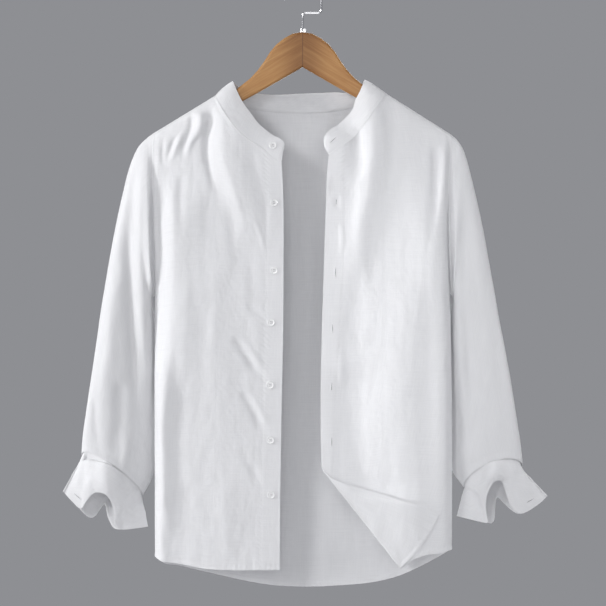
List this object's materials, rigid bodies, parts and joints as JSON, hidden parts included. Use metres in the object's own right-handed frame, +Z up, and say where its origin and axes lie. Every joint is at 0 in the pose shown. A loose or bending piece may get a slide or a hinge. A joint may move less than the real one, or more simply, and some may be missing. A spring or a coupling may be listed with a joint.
{
  "type": "mandarin collar shirt on a hanger",
  "caption": "Long-sleeved linen shirt with a mandarin collar, hanging open on a wooden hanger with a wire hook.",
  "frame": {"origin": "the point under the crown of the hanger's hook where it bears on what holds it", "axes": "+Z up; the shirt's front faces -Y; +X is to the viewer's right, the wearer's left"},
  "size_m": [0.7422, 0.0965, 0.9405],
  "materials": {
    "linen": "matte white linen, plain weave",
    "button": "satin",
    "wood": "satin varnish",
    "steel": "polished"
  },
  "bodies": {
    "root": {"front_left": "linen", "front_right": "linen", "back": "linen", "sleeve_left": "linen", "sleeve_left_forearm": "linen", "sleeve_right": "linen", "sleeve_right_forearm": "linen", "collar_band": "linen", "cuff_left": "linen", "cuff_right": "linen", "button_collar": "button", "button_front_1": "button", "button_front_2": "button", "button_front_3": "button", "button_front_4": "button", "button_front_5": "button", "button_front_6": "button", "button_cuff_left": "button", "button_cuff_right": "button", "hanger_arms": "wood", "hanger_ferrule": "steel", "hanger_hook": "steel"}
  },
  "joints": []
}
